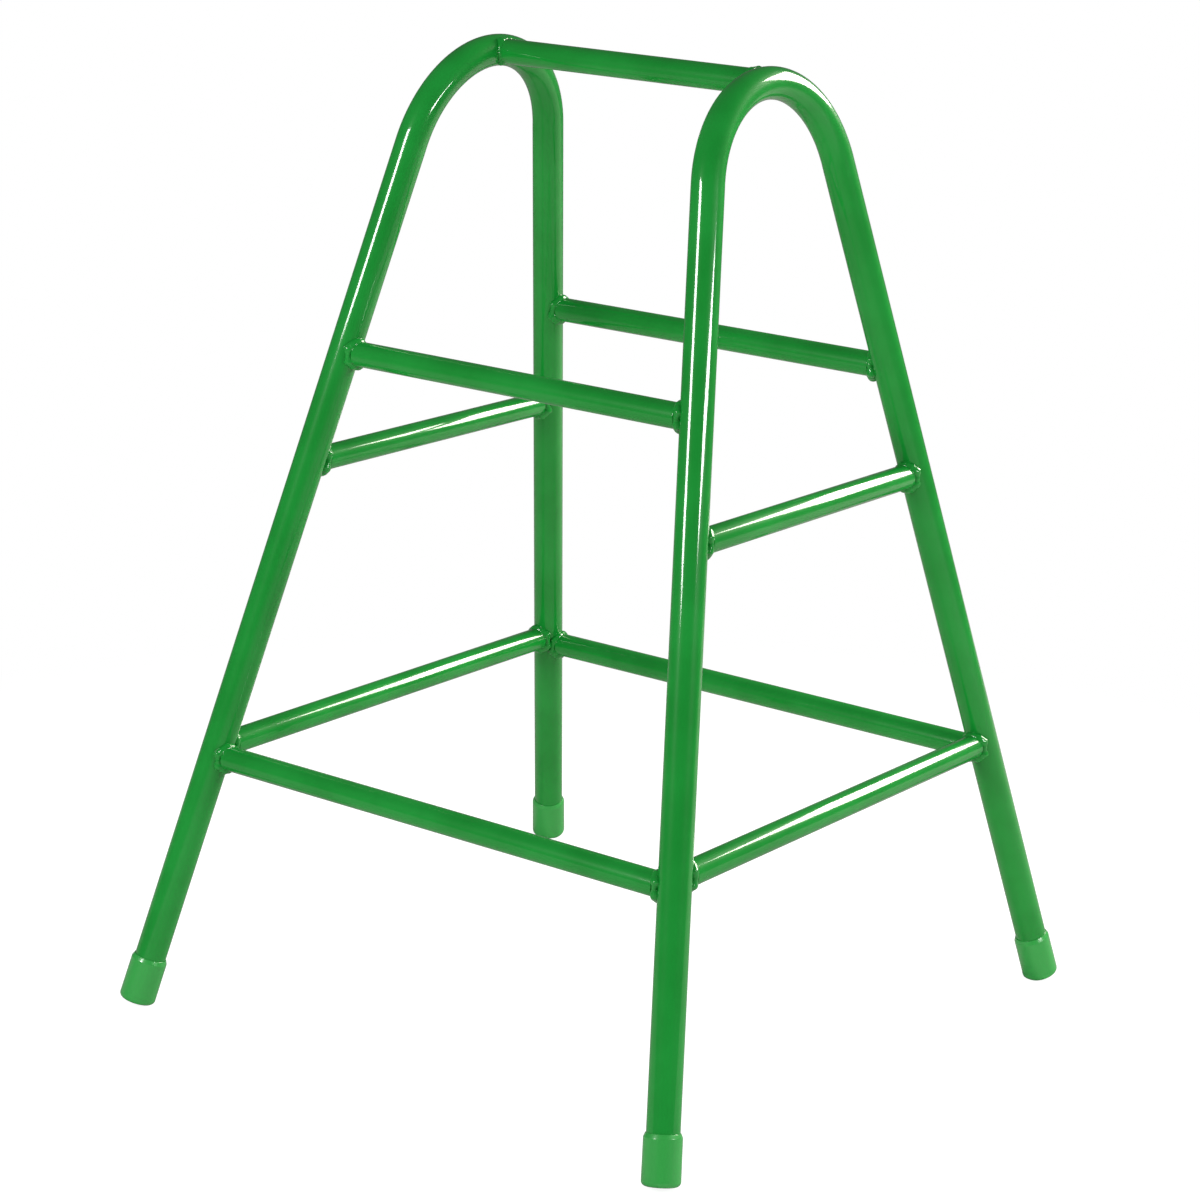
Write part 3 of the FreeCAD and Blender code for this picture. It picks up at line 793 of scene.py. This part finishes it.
ferrules = [make_ferrule(f"{face}_{side}_ferrule") for face in FACES for side in SIDES]
print(len(ferrules), "ferrules")

# %% [markdown]
# ## Floor, backdrop and light
# The floor and the wall behind are plain white paper. The camera sees them as pure white, except close to
# the trestle, where part of the white is lit and so takes a faint shadow. Light bounces from them as it
# does from paper, but glossy rays meet a dimmer paper, because the floor's full white in the enamel would
# turn it grey. Gloss paint on a tube draws each lamp as a streak along it, so the lamps are few: a softbox
# to the left of the camera, a level strip to its right, and a broad softbox behind and above for the tops
# of the rungs. The room itself is dim.

# %% White paper
PAPER_BOUNCE = 0.8
PAPER_IN_GLOSS = 0.3
SHADOW_SHARE = 0.3  # the lit part of the white near the trestle
SHADOW_WHITE = 0.9  # the part that no shadow darkens
SHADOW_REACH = (0.55, 1.3)  # metres from the middle where the lit part starts to fade, and where it ends


def make_paper(name, look):
    """White paper. "look" adds what the camera sees; other rays meet lit paper, dimmer in gloss."""
    material, tree = new_material(name)
    rays = add(tree, "ShaderNodeLightPath")
    level = add(tree, "ShaderNodeMix", {
        "Factor_Float": (rays, "Is Glossy Ray"), "A_Float": PAPER_BOUNCE, "B_Float": PAPER_IN_GLOSS})
    lit = add(tree, "ShaderNodeBsdfDiffuse", {"Color": (level, "Result_Float")})
    mix = add(tree, "ShaderNodeMixShader", {
        "Fac": (rays, "Is Camera Ray"), 1: (lit, "BSDF"), 2: look(tree)})
    add(tree, "ShaderNodeOutputMaterial", {"Surface": (mix, "Shader")})
    return material


def plain_white(tree):
    """Plain white."""
    return add(tree, "ShaderNodeEmission", {"Strength": 1.0}), "Emission"


def shaded_white(tree):
    """Plain white far from the trestle. Near it part of the white is lit, and so takes the shadow."""
    place = add(tree, "ShaderNodeTexCoord")
    distance = add(tree, "ShaderNodeVectorMath", {"Vector": (place, "Object")}, operation="LENGTH")
    away = add(tree, "ShaderNodeMapRange", {
        "Value": (distance, "Value"), "From Min": SHADOW_REACH[0], "From Max": SHADOW_REACH[1]},
        interpolation_type="SMOOTHSTEP")
    lit = add(tree, "ShaderNodeBsdfDiffuse", {"Color": (SHADOW_SHARE, SHADOW_SHARE, SHADOW_SHARE, 1)})
    base = add(tree, "ShaderNodeEmission", {"Strength": SHADOW_WHITE})
    near = add(tree, "ShaderNodeAddShader", {0: (lit, "BSDF"), 1: (base, "Emission")})
    mix = add(tree, "ShaderNodeMixShader", {
        "Fac": (away, "Result"), 1: (near, "Shader"), 2: plain_white(tree)})
    return mix, "Shader"


white_floor = make_paper("white_paper_floor", shaded_white)
white_backdrop = make_paper("white_paper_backdrop", plain_white)
print("made", white_floor.name, "and", white_backdrop.name)

# %% Floor and backdrop
FLOOR_SIZE = 14.0
WALL_DISTANCE = 5.5
WALL_WIDTH = 9.0
WALL_HEIGHT = 1.6
CAMERA_AZIMUTH = math.radians(36.83)


def make_sheet(name, corners, material):
    """A flat four-cornered sheet of the stage."""
    mesh = bpy.data.meshes.new(name)
    mesh.from_pydata([tuple(c) for c in corners], [], [(0, 1, 2, 3)])
    mesh.materials.append(material)
    sheet = bpy.data.objects.new(name, mesh)
    bpy.context.scene.collection.objects.link(sheet)


def make_floor():
    """A square floor centred under the trestle."""
    edge = FLOOR_SIZE / 2
    make_sheet("floor", [(-edge, -edge, 0), (edge, -edge, 0), (edge, edge, 0), (-edge, edge, 0)], white_floor)


def make_backdrop():
    """An upright wall behind the trestle, square to the camera's view."""
    away = Vector((-math.sin(CAMERA_AZIMUTH), math.cos(CAMERA_AZIMUTH), 0))
    beside = Vector((math.cos(CAMERA_AZIMUTH), math.sin(CAMERA_AZIMUTH), 0)) * WALL_WIDTH / 2
    foot = away * WALL_DISTANCE
    top = foot + UP * WALL_HEIGHT
    make_sheet("backdrop", [foot - beside, foot + beside, top + beside, top - beside], white_backdrop)


make_floor()
make_backdrop()
print(f"floor {FLOOR_SIZE} m across, wall {WALL_DISTANCE} m behind the trestle")

# %% World
ROOM_LIGHT = 0.38
ROOM_SEEN_IN_GLOSS = 0.08


def make_world():
    """White to the camera, a dim room to everything else."""
    world = bpy.data.worlds.new("studio")
    world.use_nodes = True
    tree = world.node_tree
    tree.nodes.clear()
    rays = add(tree, "ShaderNodeLightPath")
    gloss = add(tree, "ShaderNodeMix", {
        "Factor_Float": (rays, "Is Glossy Ray"), "A_Float": ROOM_LIGHT, "B_Float": ROOM_SEEN_IN_GLOSS})
    strength = add(tree, "ShaderNodeMix", {
        "Factor_Float": (rays, "Is Camera Ray"), "A_Float": (gloss, "Result_Float"), "B_Float": 1.0})
    background = add(tree, "ShaderNodeBackground", {
        "Color": (1, 1, 1, 1), "Strength": (strength, "Result_Float")})
    add(tree, "ShaderNodeOutputWorld", {"Surface": (background, "Background")})
    bpy.context.scene.world = world


make_world()
print("room light", ROOM_LIGHT)

# %% Lamps
TRESTLE_MIDDLE = Vector((0, 0, apex_height / 2))


def softbox(name, place, width, height, radiance, tint=(1, 1, 1)):
    """A rectangular lamp at that place, aimed at the trestle's middle, its width level."""
    data = bpy.data.lights.new(name, "AREA")
    data.shape = "RECTANGLE"
    data.size, data.size_y = width, height
    data.energy = radiance * math.pi * width * height
    data.color = tint
    lamp = bpy.data.objects.new(name, data)
    lamp.location = place
    lamp.rotation_euler = (Vector(place) - TRESTLE_MIDDLE).to_track_quat("Z", "Y").to_euler()
    bpy.context.scene.collection.objects.link(lamp)
    print(f"{name} {data.energy:.1f} W")


softbox("softbox_left", (-0.52, -2.41, 1.475), width=0.60, height=0.77, radiance=24)
softbox("strip_right", (2.60, 0.15, 1.275), width=1.20, height=0.24, radiance=28)
softbox("softbox_back", (0.95, 2.60, 1.855), width=1.60, height=1.15, radiance=18, tint=(1.0, 0.98, 0.86))

# %% [markdown]
# ## Camera
# The camera looks a little down at a corner of the trestle through a long lens, from over three metres
# away, so verticals stay nearly parallel. It is tilted by under two degrees.

# %% Camera
CAMERA_ELEVATION = math.radians(15.87)
CAMERA_DISTANCE = 3.449
CAMERA_ROLL = math.radians(1.74)
CAMERA_TARGET = Vector((-11.9, 0, 417.6)) * MM
LENS = 102.65
FARTHEST_SEEN = 50


def make_camera():
    """The camera, from its direction, distance, target and roll."""
    back = Vector((math.sin(CAMERA_AZIMUTH) * math.cos(CAMERA_ELEVATION),
                   -math.cos(CAMERA_AZIMUTH) * math.cos(CAMERA_ELEVATION), math.sin(CAMERA_ELEVATION)))
    right = UP.cross(back).normalized()
    up = back.cross(right)
    level = Matrix((right, up, back)).transposed()
    data = bpy.data.cameras.new("camera")
    data.lens = LENS
    data.clip_end = FARTHEST_SEEN
    camera = bpy.data.objects.new("camera", data)
    turned = level @ Matrix.Rotation(CAMERA_ROLL, 3, "Z")
    camera.matrix_world = Matrix.Translation(CAMERA_TARGET + back * CAMERA_DISTANCE) @ turned.to_4x4()
    bpy.context.scene.collection.objects.link(camera)
    bpy.context.scene.camera = camera


make_camera()
bpy.context.scene.view_settings.view_transform = "Standard"
print("camera at", bpy.context.scene.camera.matrix_world.translation)
